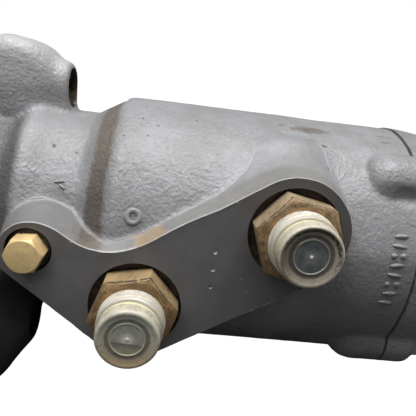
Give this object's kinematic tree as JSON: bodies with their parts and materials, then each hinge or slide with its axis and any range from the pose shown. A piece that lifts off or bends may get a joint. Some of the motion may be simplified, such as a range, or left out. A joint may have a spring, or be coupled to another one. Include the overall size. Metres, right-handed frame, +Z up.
{
  "type": "right angle bevel gearbox",
  "caption": "Right angle bevel gearbox with an upright keyed output shaft, driven by a round bolt-on hydraulic gerotor motor with capped side ports and a bolted end cover.",
  "frame": {"origin": "centre of the base plate's flat underside, on the output shaft's axis", "axes": "+Z up along the output shaft; +X along the motor's axis, from the gear case to the end cover; -Y towards the side with the two ports"},
  "size_m": [0.4005, 0.1599, 0.214],
  "materials": {
    "housing_paint": "rough light grey paint on a sand casting, worn and oil stained, machined dark on the pad",
    "cover_paint": "rough light grey paint on a sand casting",
    "gear_case_paint": "rough light grey paint on a sand casting",
    "seal_rubber": "matt black nitrile",
    "plated_steel": "dull yellow zinc plating, stained brown",
    "drain_plug_plating": "dull yellow zinc plating",
    "cap_plastic": "cloudy natural plastic",
    "bolt_steel": "dull steel",
    "screw_steel": "black oxide",
    "gasket_fibre": "brown fibre sheet",
    "brass_fittings": "plain turned brass",
    "gear_steel": "ground tooth flanks",
    "machined_steel": "ground and turned steel"
  },
  "bodies": {
    "case": {"motor_housing": "housing_paint", "end_cover": "cover_paint", "end_cover_bolt_1": "bolt_steel", "end_cover_bolt_2": "bolt_steel", "end_cover_bolt_3": "bolt_steel", "end_cover_bolt_4": "bolt_steel", "end_cover_seal": "seal_rubber", "port_plate": "machined_steel", "eccentric_ring": "machined_steel", "ring_dowel_1": "machined_steel", "ring_dowel_2": "machined_steel", "port_adapter_a": "plated_steel", "port_adapter_b": "plated_steel", "port_cap_a": "cap_plastic", "port_cap_b": "cap_plastic", "port_adapter_seal_a": "seal_rubber", "port_adapter_seal_b": "seal_rubber", "case_drain_plug": "drain_plug_plating", "case_drain_seal": "seal_rubber", "flange_screw_1": "screw_steel", "flange_screw_2": "screw_steel", "flange_screw_3": "screw_steel", "pinion_bearing_outer_ring": "machined_steel", "bearing_retainer_ring": "machined_steel", "motor_shaft_seal": "seal_rubber", "rear_bushing": "brass_fittings", "lower_bearing_outer_ring": "machined_steel", "upper_bearing_outer_ring": "machined_steel", "gear_case": "gear_case_paint", "top_cover": "gear_case_paint", "top_cover_gasket": "gasket_fibre", "top_cover_screw_1": "screw_steel", "top_cover_screw_2": "screw_steel", "top_cover_screw_3": "screw_steel", "top_cover_screw_4": "screw_steel", "output_shaft_seal": "seal_rubber", "flange_gasket": "gasket_fibre", "oil_drain_plug": "brass_fittings", "oil_fill_plug": "brass_fittings", "breather": "brass_fittings"},
    "output": {"output_shaft": "machined_steel", "gear_key": "machined_steel", "output_key": "machined_steel", "bevel_gear": "gear_steel", "gear_spacer": "machined_steel", "lower_bearing_inner_ring": "machined_steel", "upper_bearing_inner_ring": "machined_steel"},
    "drive_shaft": {"motor_shaft": "machined_steel", "rotor_key": "machined_steel", "pinion_key": "machined_steel", "bevel_pinion": "gear_steel", "pinion_nut": "machined_steel", "pinion_spacer": "machined_steel", "pinion_bearing_inner_ring": "machined_steel", "inner_rotor": "machined_steel"},
    "ring_rotor": {"outer_rotor": "machined_steel"},
    "pinion_cage": {"pinion_bearing_rollers": "machined_steel"},
    "lower_cage": {"lower_bearing_rollers": "machined_steel"},
    "upper_cage": {"upper_bearing_rollers": "machined_steel"}
  },
  "joints": [
    {"name": "output_spin", "type": "hinge", "parent": "case", "child": "output", "pos_m": [0, 0, 0.1], "axis": [0, 0, 1], "continuous": true},
    {"name": "shaft_spin", "type": "hinge", "parent": "case", "child": "drive_shaft", "pos_m": [0.19, 0, 0.095], "axis": [1, 0, 0], "continuous": true},
    {"name": "ring_rotor_spin", "type": "hinge", "parent": "case", "child": "ring_rotor", "pos_m": [0.295, 0.0026, 0.095], "axis": [1, 0, 0], "continuous": true},
    {"name": "pinion_cage_spin", "type": "hinge", "parent": "case", "child": "pinion_cage", "pos_m": [0.067, 0, 0.095], "axis": [1, 0, 0], "continuous": true},
    {"name": "lower_cage_spin", "type": "hinge", "parent": "case", "child": "lower_cage", "pos_m": [0, 0, 0.03], "axis": [0, 0, 1], "continuous": true},
    {"name": "upper_cage_spin", "type": "hinge", "parent": "case", "child": "upper_cage", "pos_m": [0, 0, 0.137], "axis": [0, 0, 1], "continuous": true}
  ],
  "couplings": [
    {"joint": "shaft_spin", "follows": "output_spin", "ratio": 2},
    {"joint": "ring_rotor_spin", "follows": "output_spin", "ratio": 1.7143},
    {"joint": "pinion_cage_spin", "follows": "output_spin", "ratio": 0.8237},
    {"joint": "lower_cage_spin", "follows": "output_spin", "ratio": 0.4116},
    {"joint": "upper_cage_spin", "follows": "output_spin", "ratio": 0.4119}
  ]
}
